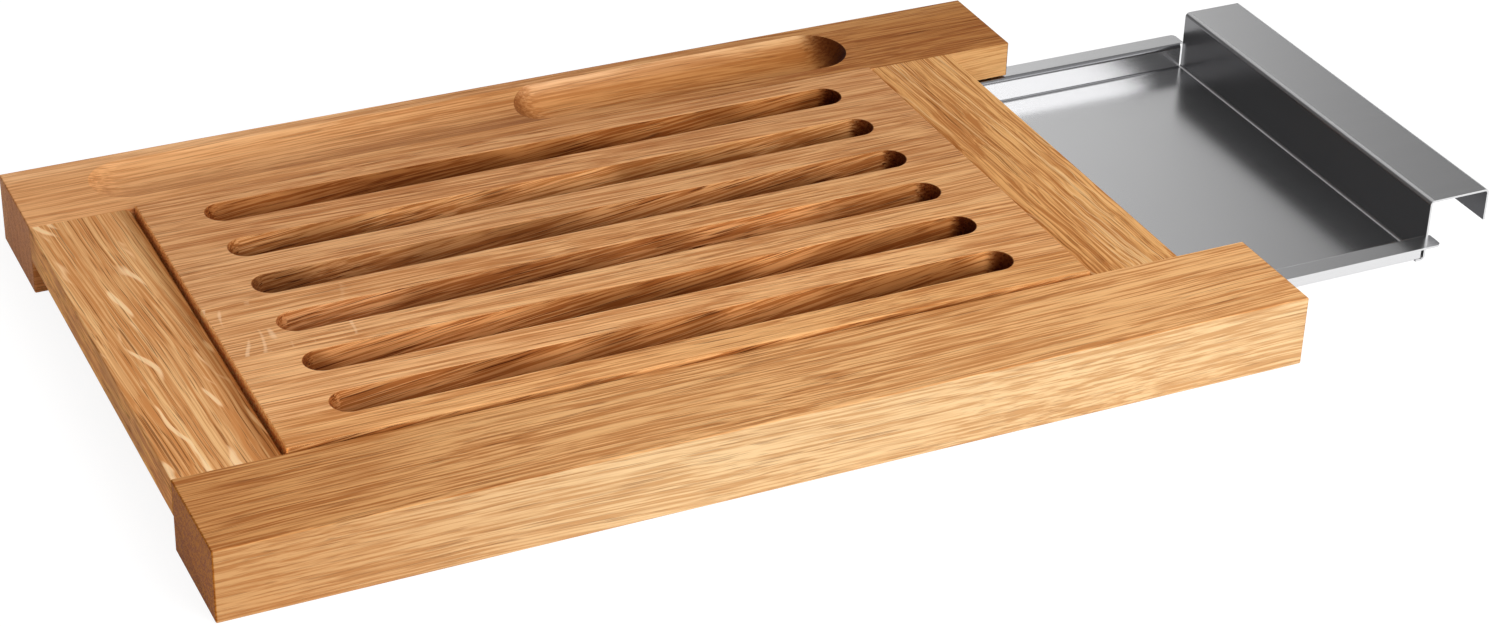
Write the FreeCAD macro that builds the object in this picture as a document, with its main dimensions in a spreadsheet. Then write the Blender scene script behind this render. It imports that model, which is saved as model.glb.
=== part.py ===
"""Oak cutting board with a lift-out slotted panel, a knife recess and a steel crumb tray.

Millimetres, +Z up. Every piece is drawn from the board's front left lower corner, X along the board
and Y from the front beam to the rear beam, and is then placed so that the origin is the middle of
the whole footprint, on the surface that the board stands on.
The tray stands part of the way out of the right end, as it does while it is emptied.
"""
import FreeCAD, Part
import os

import Sketcher

Vector = FreeCAD.Vector
nearlyZero = 1e-6
pickTolerance = 1e-4
fullTurn = 360

document = FreeCAD.newDocument("cutting_board")

# ---------------------------------------------------------------- driving dimensions
dimensions = {
    # frame of two beams and two cross rails
    "board_length": 500.0,
    "board_width": 326.0,
    "board_height": 34.0,
    "beam_width": 54.0,
    "rail_thickness": 17.7,
    "left_rail_width": 47.3,
    "right_rail_width": 44.3,
    "right_rail_inset": 34.5,
    "rail_rounding": 4.0,
    "ledge_width": 8.0,
    "ledge_thickness": 5.7,
    "edge_ease": 0.8,
    # dowels that join the rails to the beams
    "dowel_diameter": 8.0,
    "dowel_length": 38.0,
    "dowel_spacing": 24.0,
    "dowel_end_room": 1.0,
    # slotted panel, glued up from five staves
    "panel_thickness": 14.0,
    "panel_gap": 0.9,
    "panel_ease": 1.0,
    "slot_width": 17.0,
    "slot_end_margin": 26.8,
    "slot_front_margin": 15.75,
    "slot_rear_margin": 11.95,
    "slot_ease": 0.5,
    "first_joint_setback": 3.8,
    "second_joint_land": 5.8,
    "third_joint_land": 2.4,
    # knife recess in the rear beam
    "recess_from_rear": 25.5,
    "blade_recess_start": 35.3,
    "blade_recess_depth": 3.0,
    "blade_recess_radius": 56.0,
    "handle_recess_start": 243.0,
    "handle_recess_end": 420.3,
    "handle_recess_depth": 10.5,
    "handle_recess_radius": 22.0,
    # runner grooves for the tray
    "groove_floor": 13.8,
    "groove_height": 2.2,
    "groove_depth": 11.0,
    "groove_run_out": 10.0,
    "cut_overrun": 2.0,
    # folded steel tray
    "sheet": 1.0,
    "bend_radius": 1.2,
    "runner_clearance": 0.2,
    "flange_side_clearance": 1.2,
    "wall_side_clearance": 0.8,
    "flange_corner": 2.4,
    "corner_relief": 1.6,
    "fold_land": 4.0,
    "tray_depth": 14.0,
    "tray_length": 412.0,
    "tray_pull": 137.0,
    "handle_depth": 33.0,
    "handle_drop": 1.5,
    "lip_height": 16.5,
}

sizes = document.addObject("Spreadsheet::Sheet", "Sizes")
for row, (alias, value) in enumerate(dimensions.items(), start=1):
    sizes.set(f"A{row}", alias)
    sizes.set(f"B{row}", str(value))
    sizes.setAlias(f"B{row}", alias)
document.recompute()


# ---------------------------------------------------------------- expressions
def size(alias):
    return f"Sizes.{alias}"


def plus(*terms):
    return "(" + " + ".join(terms) + ")"


def minus(first, *others):
    return "(" + " - ".join((first,) + others) + ")"


def times(factor, term):
    return f"({factor} * {term})"


def value(expression):
    """The present number of an expression on the sheet."""
    return float(sizes.evalExpression(expression))


zero = "0"
boardTop = size("board_height")
railUnderside = minus(size("board_height"), size("rail_thickness"))
ledgeTop = plus(railUnderside, size("ledge_thickness"))
panelTop = plus(ledgeTop, size("panel_thickness"))
frontInner = size("beam_width")
rearInner = minus(size("board_width"), size("beam_width"))
leftRailInner = size("left_rail_width")
rightRailOuter = minus(size("board_length"), size("right_rail_inset"))
rightRailInner = minus(rightRailOuter, size("right_rail_width"))
panelLeft = plus(leftRailInner, size("panel_gap"))
panelRight = minus(rightRailInner, size("panel_gap"))
panelFront = plus(frontInner, size("panel_gap"))
panelRear = minus(rearInner, size("panel_gap"))
grooveTop = plus(size("groove_floor"), size("groove_height"))
trayClosedInner = minus(size("board_length"), size("handle_depth"), size("tray_length"))
grooveStart = minus(trayClosedInner, size("groove_run_out"))
boreDepth = plus(times(0.5, size("dowel_length")), size("dowel_end_room"))
dowelHeight = minus(size("board_height"), times(0.5, size("rail_thickness")))
dowelRadius = times(0.5, size("dowel_diameter"))
leftRailMiddle = times(0.5, size("left_rail_width"))
rightRailMiddle = minus(rightRailOuter, times(0.5, size("right_rail_width")))
halfSpacing = times(0.5, size("dowel_spacing"))

halfSlot = times(0.5, size("slot_width"))
firstSlot = plus(panelFront, size("slot_front_margin"), halfSlot)
lastSlot = minus(panelRear, size("slot_rear_margin"), halfSlot)
slotCount = 6


def slotCentre(index):
    """Middle of a slot across the board, evenly spaced; slot 1 is the front one."""
    share = (index - 1) / (slotCount - 1)
    return plus(firstSlot, times(share, minus(lastSlot, firstSlot)))


# ---------------------------------------------------------------- sketch helpers
def newBody(name):
    body = document.addObject("PartDesign::Body", name)
    body.Label = name
    return body


def originPlane(body, role):
    for feature in body.Origin.OriginFeatures:
        if feature.Role == role:
            return feature
    raise RuntimeError(f"{body.Label} has no {role}")


def newSketch(body, name, role, offset=None):
    """A sketch on an origin plane, moved along the plane's normal by an expression."""
    sketch = body.newObject("Sketcher::SketchObject", name)
    sketch.AttachmentSupport = (originPlane(body, role), [""])
    sketch.MapMode = "FlatFace"
    if offset is not None:
        sketch.setExpression("AttachmentOffset.Base.z", offset)
    return sketch


def bind(sketch, constraint, expression):
    index = sketch.addConstraint(constraint)
    sketch.setExpression(f"Constraints[{index}]", expression)
    return index


def holdCoordinate(sketch, geometry, point, axis, expression):
    """Hold a point's distance from the sketch origin along one axis."""
    amount = value(expression)
    if abs(amount) < nearlyZero and expression == zero:
        sketch.addConstraint(Sketcher.Constraint("PointOnObject", geometry, point, -2 if axis == "X" else -1))
        return
    bind(sketch, Sketcher.Constraint("Distance" + axis, -1, 1, geometry, point, amount), expression)


def holdPoint(sketch, geometry, point, across, up):
    holdCoordinate(sketch, geometry, point, "X", across)
    holdCoordinate(sketch, geometry, point, "Y", up)


def drawOutline(sketch, corners):
    """A closed outline of level and upright lines; a corner is (across, up, radius or None)."""
    count = len(corners)
    points = [Vector(value(across), value(up), 0) for across, up, radius in corners]
    radii = [value(radius) if radius else 0.0 for across, up, radius in corners]
    lines = []
    for index in range(count):
        begin = points[index]
        end = points[(index + 1) % count]
        along = (end - begin).normalize()
        begin = begin + along * radii[index]
        end = end - along * radii[(index + 1) % count]
        line = sketch.addGeometry(Part.LineSegment(begin, end), False)
        level = abs(along.x) > abs(along.y)
        sketch.addConstraint(Sketcher.Constraint("Horizontal" if level else "Vertical", line))
        across, up, radius = corners[index]
        holdCoordinate(sketch, line, 1, "Y" if level else "X", up if level else across)
        lines.append((line, begin, end, along))
    for index, (across, up, radius) in enumerate(corners):
        before, beforeBegin, beforeEnd, beforeAlong = lines[index - 1]
        after, afterBegin, afterEnd, afterAlong = lines[index]
        if radius is None:
            sketch.addConstraint(Sketcher.Constraint("Coincident", before, 2, after, 1))
            continue
        centre = points[index] + (afterAlong - beforeAlong) * radii[index]
        middle = centre + (points[index] - centre).normalize() * radii[index]
        arc = sketch.addGeometry(Part.Arc(beforeEnd, middle, afterBegin), False)
        leftTurn = beforeAlong.cross(afterAlong).z > 0
        arcStart = 1 if leftTurn else 2
        arcEnd = 2 if leftTurn else 1
        sketch.addConstraint(Sketcher.Constraint("Tangent", before, 2, arc, arcStart))
        sketch.addConstraint(Sketcher.Constraint("Tangent", arc, arcEnd, after, 1))
        bind(sketch, Sketcher.Constraint("Radius", arc, radii[index]), radius)


def drawRectangle(sketch, left, bottom, right, top):
    corners = [(left, bottom), (right, bottom), (right, top), (left, top)]
    drawOutline(sketch, [(across, up, None) for across, up in corners])


def drawCircle(sketch, across, up, radius):
    centre = Vector(value(across), value(up), 0)
    circle = sketch.addGeometry(Part.Circle(centre, Vector(0, 0, 1), value(radius)), False)
    holdPoint(sketch, circle, 3, across, up)
    bind(sketch, Sketcher.Constraint("Radius", circle, value(radius)), radius)


def drawSlot(sketch, left, right, middle, width):
    """A round-ended slot along X between its two tips."""
    radius = times(0.5, width)
    reach = value(radius)
    leftCentre = Vector(value(left) + reach, value(middle), 0)
    rightCentre = Vector(value(right) - reach, value(middle), 0)
    down = Vector(0, -reach, 0)
    lower = sketch.addGeometry(Part.LineSegment(leftCentre + down, rightCentre + down), False)
    upper = sketch.addGeometry(Part.LineSegment(rightCentre - down, leftCentre - down), False)
    rightTip = rightCentre + Vector(reach, 0, 0)
    leftTip = leftCentre - Vector(reach, 0, 0)
    rightArc = sketch.addGeometry(Part.Arc(rightCentre + down, rightTip, rightCentre - down), False)
    leftArc = sketch.addGeometry(Part.Arc(leftCentre - down, leftTip, leftCentre + down), False)
    sketch.addConstraint(Sketcher.Constraint("Tangent", lower, 2, rightArc, 1))
    sketch.addConstraint(Sketcher.Constraint("Tangent", rightArc, 2, upper, 1))
    sketch.addConstraint(Sketcher.Constraint("Tangent", upper, 2, leftArc, 1))
    sketch.addConstraint(Sketcher.Constraint("Horizontal", lower))
    sketch.addConstraint(Sketcher.Constraint("Coincident", leftArc, 2, lower, 1))
    holdPoint(sketch, leftArc, 3, plus(left, radius), middle)
    holdCoordinate(sketch, rightArc, 3, "X", minus(right, radius))
    bind(sketch, Sketcher.Constraint("Radius", leftArc, reach), radius)


# ---------------------------------------------------------------- feature helpers
def pad(body, sketch, length, name="Pad", reverse=False):
    document.recompute()
    feature = body.newObject("PartDesign::Pad", name)
    feature.Profile = sketch
    feature.setExpression("Length", length)
    feature.Reversed = reverse
    document.recompute()
    return feature


def requireCut(body, before, feature):
    document.recompute()
    if body.Shape.Volume >= before - nearlyZero:
        raise RuntimeError(f"{feature.Label} cuts nothing from {body.Label}")


def pocket(body, sketch, length, name, reverse=False):
    """A pocket against the sketch's normal, or along it when reversed."""
    document.recompute()
    before = body.Shape.Volume
    feature = body.newObject("PartDesign::Pocket", name)
    feature.Profile = sketch
    feature.setExpression("Length", length)
    feature.Reversed = reverse
    requireCut(body, before, feature)
    return feature


def easeEdges(body, base, name, radius, wanted):
    """Round the edges of the last feature that the test picks by their two ends and middle."""
    names = []
    for index, edge in enumerate(base.Shape.Edges, start=1):
        middle = edge.valueAt(0.5 * (edge.FirstParameter + edge.LastParameter))
        marks = [vertex.Point for vertex in edge.Vertexes] + [middle]
        if wanted(marks):
            names.append(f"Edge{index}")
    feature = body.newObject("PartDesign::Fillet", name)
    feature.Base = (base, names)
    feature.setExpression("Radius", radius)
    document.recompute()
    return feature


def allAt(marks, axis, level):
    return all(abs(getattr(mark, axis) - level) < pickTolerance for mark in marks)


# ---------------------------------------------------------------- beams
def makeBeam(name, outer, inner, innerNormal):
    """A full-length beam, eased all round but along the top edge that meets the rails."""
    body = newBody(name)
    front, rear = (outer, inner) if innerNormal > 0 else (inner, outer)
    plan = newSketch(body, name + "_plan", "XY_Plane")
    drawRectangle(plan, zero, front, size("board_length"), rear)
    block = pad(body, plan, size("board_height"), name + "_block")
    innerLevel = value(inner)
    topLevel = value(boardTop)

    def wanted(marks):
        return not (allAt(marks, "y", innerLevel) and allAt(marks, "z", topLevel))

    easeEdges(body, block, name + "_easing", size("edge_ease"), wanted)
    cutRunnerGroove(body, name, inner, innerNormal)
    cutRailBores(body, name, inner, innerNormal)
    return body


def cutRunnerGroove(body, name, inner, innerNormal):
    """The groove for the tray's flange: open at the right end, stopped short of the left one."""
    profile = newSketch(body, name + "_groove_plan", "XY_Plane", grooveTop)
    past = plus(size("board_length"), size("cut_overrun"))
    if innerNormal > 0:
        front = minus(inner, size("groove_depth"))
        rear = plus(inner, size("cut_overrun"))
    else:
        front = minus(inner, size("cut_overrun"))
        rear = plus(inner, size("groove_depth"))
    drawRectangle(profile, grooveStart, front, past, rear)
    pocket(body, profile, size("groove_height"), name + "_groove")


def cutRailBores(body, name, inner, innerNormal):
    """Two dowel bores where each cross rail meets the beam's inner face."""
    offset = f"(-1 * {inner})"
    profile = newSketch(body, name + "_bore_circles", "XZ_Plane", offset)
    for middle in (leftRailMiddle, rightRailMiddle):
        drawCircle(profile, minus(middle, halfSpacing), dowelHeight, dowelRadius)
        drawCircle(profile, plus(middle, halfSpacing), dowelHeight, dowelRadius)
    pocket(body, profile, boreDepth, name + "_bores", reverse=innerNormal > 0)


def cutScoop(body, name, left, right, depth, radius):
    """A round-bottomed trough along X with ball ends, between its two tips on the top face."""
    lift = minus(radius, depth)
    height = plus(boardTop, lift)
    reach = f"sqrt({radius} * {radius} - {lift} * {lift})"
    leftCentre = plus(left, reach)
    rightCentre = minus(right, reach)
    middle = minus(size("board_width"), size("recess_from_rear"))
    profile = newSketch(body, name + "_profile", "XZ_Plane", f"(-1 * {middle})")
    ball = value(radius)
    axisHeight = value(height)
    leftBall = Vector(value(leftCentre), axisHeight, 0)
    rightBall = Vector(value(rightCentre), axisHeight, 0)
    side = Vector(ball, 0, 0)
    down = Vector(0, -ball, 0)
    slant = ball * 0.5 ** 0.5
    leftMiddle = leftBall + Vector(-slant, -slant, 0)
    rightMiddle = rightBall + Vector(slant, -slant, 0)
    axis = sketchLine(profile, leftBall - side, rightBall + side)
    leftArc = profile.addGeometry(Part.Arc(leftBall - side, leftMiddle, leftBall + down), False)
    bottom = sketchLine(profile, leftBall + down, rightBall + down)
    rightArc = profile.addGeometry(Part.Arc(rightBall + down, rightMiddle, rightBall + side), False)
    profile.addConstraint(Sketcher.Constraint("Horizontal", axis))
    profile.addConstraint(Sketcher.Constraint("Coincident", leftArc, 1, axis, 1))
    profile.addConstraint(Sketcher.Constraint("Coincident", rightArc, 2, axis, 2))
    profile.addConstraint(Sketcher.Constraint("Tangent", leftArc, 2, bottom, 1))
    profile.addConstraint(Sketcher.Constraint("Tangent", bottom, 2, rightArc, 1))
    profile.addConstraint(Sketcher.Constraint("PointOnObject", leftArc, 3, axis))
    profile.addConstraint(Sketcher.Constraint("PointOnObject", rightArc, 3, axis))
    holdPoint(profile, leftArc, 3, leftCentre, height)
    holdCoordinate(profile, rightArc, 3, "X", rightCentre)
    bind(profile, Sketcher.Constraint("Radius", leftArc, ball), radius)
    construction = profile.addGeometry(Part.LineSegment(leftBall, rightBall), True)
    profile.addConstraint(Sketcher.Constraint("Coincident", construction, 1, leftArc, 3))
    profile.addConstraint(Sketcher.Constraint("Coincident", construction, 2, rightArc, 3))
    document.recompute()
    before = body.Shape.Volume
    groove = body.newObject("PartDesign::Groove", name)
    groove.Profile = profile
    groove.ReferenceAxis = (profile, ["Axis0"])
    groove.Angle = fullTurn
    requireCut(body, before, groove)


def sketchLine(sketch, begin, end):
    return sketch.addGeometry(Part.LineSegment(begin, end), False)


def makeFrontBeam():
    makeBeam("front_beam", zero, frontInner, 1)


def makeRearBeam():
    """The rear beam also holds the knife: a shallow trough for the blade, a deep one for its handle."""
    body = makeBeam("rear_beam", size("board_width"), rearInner, -1)
    bladeEnd = minus(size("handle_recess_end"), size("handle_recess_radius"))
    cutScoop(body, "blade_recess", size("blade_recess_start"), bladeEnd,
             size("blade_recess_depth"), size("blade_recess_radius"))
    cutScoop(body, "handle_recess", size("handle_recess_start"), size("handle_recess_end"),
             size("handle_recess_depth"), size("handle_recess_radius"))


# ---------------------------------------------------------------- cross rails
def makeRail(name, corners, middle):
    """A cross rail between the beams, with a ledge under the panel and dowel bores in its ends."""
    body = newBody(name)
    profile = newSketch(body, name + "_section", "XZ_Plane", f"(-1 * {frontInner})")
    drawOutline(profile, corners)
    pad(body, profile, minus(rearInner, frontInner), name + "_length", reverse=True)
    for end, level, reverse in (("front", frontInner, False), ("rear", rearInner, True)):
        circles = newSketch(body, f"{name}_{end}_circles", "XZ_Plane", f"(-1 * {level})")
        drawCircle(circles, minus(middle, halfSpacing), dowelHeight, dowelRadius)
        drawCircle(circles, plus(middle, halfSpacing), dowelHeight, dowelRadius)
        pocket(body, circles, boreDepth, f"{name}_{end}_bores", reverse=reverse)


def makeLeftRail():
    ledgeEdge = plus(leftRailInner, size("ledge_width"))
    corners = [
        (zero, railUnderside, size("edge_ease")),
        (ledgeEdge, railUnderside, None),
        (ledgeEdge, ledgeTop, None),
        (leftRailInner, ledgeTop, None),
        (leftRailInner, boardTop, size("rail_rounding")),
        (zero, boardTop, size("edge_ease")),
    ]
    makeRail("left_cross_rail", corners, leftRailMiddle)


def makeRightRail():
    ledgeEdge = minus(rightRailInner, size("ledge_width"))
    corners = [
        (ledgeEdge, railUnderside, None),
        (rightRailOuter, railUnderside, size("edge_ease")),
        (rightRailOuter, boardTop, size("edge_ease")),
        (rightRailInner, boardTop, size("rail_rounding")),
        (rightRailInner, ledgeTop, None),
        (ledgeEdge, ledgeTop, None),
    ]
    makeRail("right_cross_rail", corners, rightRailMiddle)


def makeDowels(name, railMiddle, beamInner):
    """The two dowels of one joint, half in the rail and half in the beam."""
    dowels = []
    for side, across in (("left", minus(railMiddle, halfSpacing)), ("right", plus(railMiddle, halfSpacing))):
        dowel = document.addObject("Part::Cylinder", f"{name}_{side}")
        dowel.Placement = FreeCAD.Placement(Vector(), FreeCAD.Rotation(Vector(1, 0, 0), -90))
        dowel.setExpression("Radius", dowelRadius)
        dowel.setExpression("Height", size("dowel_length"))
        dowel.setExpression("Placement.Base.x", across)
        dowel.setExpression("Placement.Base.y", minus(beamInner, times(0.5, size("dowel_length"))))
        dowel.setExpression("Placement.Base.z", dowelHeight)
        dowels.append(dowel)
    group = document.addObject("Part::Compound", name)
    group.Label = name
    group.Links = dowels


# ---------------------------------------------------------------- slotted panel
def makeStave(name, front, rear, outerFront=False, outerRear=False):
    """One stave of the panel with its share of the slots, eased where it is not glued."""
    body = newBody(name)
    plan = newSketch(body, name + "_plan", "XY_Plane", ledgeTop)
    drawRectangle(plan, panelLeft, front, panelRight, rear)
    pad(body, plan, size("panel_thickness"), name + "_board")
    slots = newSketch(body, name + "_slots_plan", "XY_Plane", panelTop)
    tipLeft = plus(panelLeft, size("slot_end_margin"))
    tipRight = minus(panelRight, size("slot_end_margin"))
    for index in range(1, slotCount + 1):
        drawSlot(slots, tipLeft, tipRight, slotCentre(index), size("slot_width"))
    cut = pocket(body, slots, size("panel_thickness"), name + "_slots")
    leftLevel = value(panelLeft)
    rightLevel = value(panelRight)
    topLevel = value(panelTop)
    frontLevel = value(front)
    rearLevel = value(rear)

    def onRim(marks):
        if not allAt(marks, "z", topLevel):
            return False
        if allAt(marks, "y", frontLevel):
            return outerFront
        if allAt(marks, "y", rearLevel):
            return outerRear
        return allAt(marks, "x", leftLevel) or allAt(marks, "x", rightLevel)

    def onSlot(marks):
        joints = (frontLevel, rearLevel)
        if any(allAt(marks, "y", level) for level in joints):
            return False
        inside = leftLevel + nearlyZero < marks[-1].x < rightLevel - nearlyZero
        return inside and allAt(marks, "z", topLevel)

    rim = easeEdges(body, cut, name + "_rim", size("panel_ease"), onRim)
    easeEdges(body, rim, name + "_slot_easing", size("slot_ease"), onSlot)


def makePanel():
    """Five staves whose glue joints are placed from the slots."""
    joints = [
        panelFront,
        minus(slotCentre(1), size("first_joint_setback")),
        plus(slotCentre(2), halfSlot, size("second_joint_land")),
        minus(slotCentre(4), halfSlot, size("third_joint_land")),
        slotCentre(5),
        panelRear,
    ]
    count = len(joints) - 1
    for index in range(count):
        makeStave(f"panel_stave_{index + 1}", joints[index], joints[index + 1],
                  outerFront=index == 0, outerRear=index == count - 1)


# ---------------------------------------------------------------- crumb tray
def makeTray():
    """One folded sheet: a channel with flanges, a low inner end and a tall end that forms the handle."""
    body = newBody("crumb_tray")
    sheet = size("sheet")
    inside = size("bend_radius")
    outside = plus(inside, sheet)
    flangeUnder = plus(size("groove_floor"), size("runner_clearance"))
    flangeTop = plus(flangeUnder, sheet)
    floorUnder = minus(flangeTop, size("tray_depth"))
    floorTop = plus(floorUnder, sheet)
    nearEdge = plus(minus(frontInner, size("groove_depth")), size("flange_side_clearance"))
    farEdge = minus(plus(rearInner, size("groove_depth")), size("flange_side_clearance"))
    nearWall = plus(frontInner, size("wall_side_clearance"))
    farWall = minus(rearInner, size("wall_side_clearance"))
    lipFace = plus(size("board_length"), size("tray_pull"))
    endFace = minus(lipFace, size("handle_depth"))
    innerFace = minus(endFace, size("tray_length"))
    handleTop = minus(boardTop, size("handle_drop"))
    lipBottom = minus(handleTop, size("lip_height"))
    channelStart = plus(innerFace, size("corner_relief"))
    channelEnd = minus(endFace, size("corner_relief"))
    width = minus(farWall, nearWall)

    section = newSketch(body, "tray_section", "YZ_Plane", channelStart)
    drawOutline(section, [
        (nearEdge, flangeUnder, None),
        (nearWall, flangeUnder, inside),
        (nearWall, floorUnder, outside),
        (farWall, floorUnder, outside),
        (farWall, flangeUnder, inside),
        (farEdge, flangeUnder, None),
        (farEdge, flangeTop, None),
        (minus(farWall, sheet), flangeTop, outside),
        (minus(farWall, sheet), floorTop, inside),
        (plus(nearWall, sheet), floorTop, inside),
        (plus(nearWall, sheet), flangeTop, outside),
        (nearEdge, flangeTop, None),
    ])
    pad(body, section, minus(channelEnd, channelStart), "tray_channel")

    tabEnd = plus(endFace, sheet)
    nearRoot = minus(nearWall, inside)
    farRoot = plus(farWall, inside)
    corner = size("flange_corner")
    for side, outline in (
        ("near", [
            (channelEnd, nearEdge, None),
            (tabEnd, nearEdge, corner),
            (tabEnd, nearRoot, None),
            (channelEnd, nearRoot, None),
        ]),
        ("far", [
            (channelEnd, farRoot, None),
            (tabEnd, farRoot, None),
            (tabEnd, farEdge, corner),
            (channelEnd, farEdge, None),
        ]),
    ):
        tab = newSketch(body, f"tray_{side}_tab_plan", "XY_Plane", flangeUnder)
        drawOutline(tab, outline)
        pad(body, tab, sheet, f"tray_{side}_tab")

    handle = newSketch(body, "tray_handle_section", "XZ_Plane", f"(-1 * {nearWall})")
    landStart = minus(endFace, size("fold_land"))
    drawOutline(handle, [
        (landStart, floorUnder, None),
        (plus(endFace, sheet), floorUnder, outside),
        (plus(endFace, sheet), minus(handleTop, sheet), inside),
        (minus(lipFace, sheet), minus(handleTop, sheet), inside),
        (minus(lipFace, sheet), lipBottom, None),
        (lipFace, lipBottom, None),
        (lipFace, handleTop, outside),
        (endFace, handleTop, outside),
        (endFace, floorTop, inside),
        (landStart, floorTop, None),
    ])
    pad(body, handle, width, "tray_handle", reverse=True)

    inner = newSketch(body, "tray_inner_section", "XZ_Plane", f"(-1 * {nearWall})")
    landEnd = plus(innerFace, size("fold_land"))
    drawOutline(inner, [
        (innerFace, floorUnder, outside),
        (landEnd, floorUnder, None),
        (landEnd, floorTop, None),
        (plus(innerFace, sheet), floorTop, inside),
        (plus(innerFace, sheet), flangeTop, None),
        (innerFace, flangeTop, None),
    ])
    pad(body, inner, width, "tray_inner_end", reverse=True)


# ---------------------------------------------------------------- the board
makeFrontBeam()
makeRearBeam()
makeLeftRail()
makeRightRail()
makeDowels("front_left_dowels", leftRailMiddle, frontInner)
makeDowels("rear_left_dowels", leftRailMiddle, rearInner)
makeDowels("front_right_dowels", rightRailMiddle, frontInner)
makeDowels("rear_right_dowels", rightRailMiddle, rearInner)
makePanel()
makeTray()

pieces = [item for item in document.Objects if item.TypeId in ("PartDesign::Body", "Part::Compound")]
for piece in pieces:
    piece.setExpression("Placement.Base.x", f"-0.5 * ({size('board_length')} + {size('tray_pull')})")
    piece.setExpression("Placement.Base.y", f"-0.5 * {size('board_width')}")
document.recompute()

for item in document.Objects:
    if {"Invalid", "Error"} & set(item.State):
        raise RuntimeError(f"{item.Label} failed: {item.State}")

for piece in pieces:
    if piece.Shape.isNull() or not piece.Shape.isValid():
        raise RuntimeError(f"{piece.Label} has no valid shape")

os.makedirs("parts", exist_ok=True)
for piece in pieces:
    piece.Shape.exportStep(f"parts/{piece.Label}.step")
    solids = len(piece.Shape.Solids)
    print(f"{piece.Label}: {solids} solid(s), {piece.Shape.Volume:.0f} mm3")
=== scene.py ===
import math

import bpy
from mathutils import Matrix, Vector

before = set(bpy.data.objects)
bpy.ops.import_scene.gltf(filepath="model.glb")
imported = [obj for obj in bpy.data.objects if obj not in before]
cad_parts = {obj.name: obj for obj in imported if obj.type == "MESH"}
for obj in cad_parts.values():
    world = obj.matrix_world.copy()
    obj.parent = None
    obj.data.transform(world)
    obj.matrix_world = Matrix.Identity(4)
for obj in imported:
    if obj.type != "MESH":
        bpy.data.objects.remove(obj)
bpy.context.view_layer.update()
print("frame loaded:", ", ".join(sorted(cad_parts)))

# where the camera stands, in metres, and how it is turned, in degrees
camera = {
    "place": (-0.5899, -1.1741, 0.7645),
    "heading": -26.105,  # degrees about Z, from looking along +Y
    "tilt": 59.049,  # degrees up from looking straight down
    "roll": 1.898,
    "lens": 79.33,
    "sensorWidth": 36.0,
    "nearest": 0.05,
    "furthest": 60,
}


def makeCamera():
    data = bpy.data.cameras.new("boardCamera")
    data.lens = camera["lens"]
    data.sensor_width = camera["sensorWidth"]
    data.clip_start = camera["nearest"]
    data.clip_end = camera["furthest"]
    eye = bpy.data.objects.new("boardCamera", data)
    bpy.context.collection.objects.link(eye)
    turn = Matrix.Rotation(math.radians(camera["heading"]), 4, "Z")
    turn = turn @ Matrix.Rotation(math.radians(camera["tilt"]), 4, "X")
    turn = turn @ Matrix.Rotation(math.radians(camera["roll"]), 4, "Z")
    eye.matrix_world = Matrix.Translation(camera["place"]) @ turn
    bpy.context.scene.camera = eye


makeCamera()
print("camera made")


def setInput(tree, node, name, value):
    socket = node.inputs[int(name)] if name.isdigit() else node.inputs[name]
    if isinstance(value, bpy.types.NodeSocket):
        tree.links.new(value, socket)
    else:
        socket.default_value = value


def addNode(tree, kind, **sockets):
    node = tree.nodes.new(kind)
    for name, value in sockets.items():
        setInput(tree, node, name.replace("_", " "), value)
    return node


def calc(tree, operation, first, second=0.0, clamp=False):
    node = tree.nodes.new("ShaderNodeMath")
    node.operation = operation
    node.use_clamp = clamp
    setInput(tree, node, "0", first)
    setInput(tree, node, "1", second)
    return node.outputs[0]


def remap(tree, value, fromLow, fromHigh, toLow=0.0, toHigh=1.0, smooth=False):
    node = tree.nodes.new("ShaderNodeMapRange")
    node.interpolation_type = "SMOOTHSTEP" if smooth else "LINEAR"
    node.clamp = True
    for name, amount in (("Value", value), ("From Min", fromLow), ("From Max", fromHigh),
                         ("To Min", toLow), ("To Max", toHigh)):
        setInput(tree, node, name, amount)
    return node.outputs["Result"]


def window(tree, value, opening):
    # 1 inside an opening and 0 outside, with soft sides: (starts, full, leaves, gone)
    starts, full, leaves, gone = opening
    return calc(tree, "MULTIPLY", remap(tree, value, starts, full, smooth=True),
                remap(tree, value, gone, leaves, smooth=True))


def blendColour(tree, share, first, second, mode="MIX"):
    node = tree.nodes.new("ShaderNodeMix")
    node.data_type = "RGBA"
    node.blend_type = mode
    for index, amount in ((0, share), (6, first), (7, second)):
        setInput(tree, node, str(index), amount)
    return node.outputs[2]


def blendVector(tree, share, first, second):
    node = tree.nodes.new("ShaderNodeMix")
    node.data_type = "VECTOR"
    for index, amount in ((0, share), (4, first), (5, second)):
        setInput(tree, node, str(index), amount)
    return node.outputs[1]


def vectorCalc(tree, operation, first, **others):
    node = tree.nodes.new("ShaderNodeVectorMath")
    node.operation = operation
    setInput(tree, node, "0", first)
    for name, value in others.items():
        setInput(tree, node, "1" if name == "second" else name, value)
    return node


def stretched(tree, vector, across, along, shift=(0.0, 0.0, 0.0)):
    # a pattern `along` cycles per metre on X and `across` on the other two
    return addNode(tree, "ShaderNodeMapping", Vector=vector, Location=shift,
                   Scale=(along, across, across)).outputs["Vector"]


def noise(tree, vector, scale=1.0, detail=2.0, roughness=0.5):
    node = addNode(tree, "ShaderNodeTexNoise", Vector=vector, Scale=scale, Detail=detail,
                   Roughness=roughness)
    return node.outputs["Fac"]


def newGroup(name, inputs, outputs):
    tree = bpy.data.node_groups.new(name, "ShaderNodeTree")
    for label, kind, default in inputs:
        socket = tree.interface.new_socket(name=label, in_out="INPUT", socket_type=kind)
        if default is not None:
            socket.default_value = default
    for label, kind in outputs:
        tree.interface.new_socket(name=label, in_out="OUTPUT", socket_type=kind)
    return tree, tree.nodes.new("NodeGroupInput"), tree.nodes.new("NodeGroupOutput")


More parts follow.
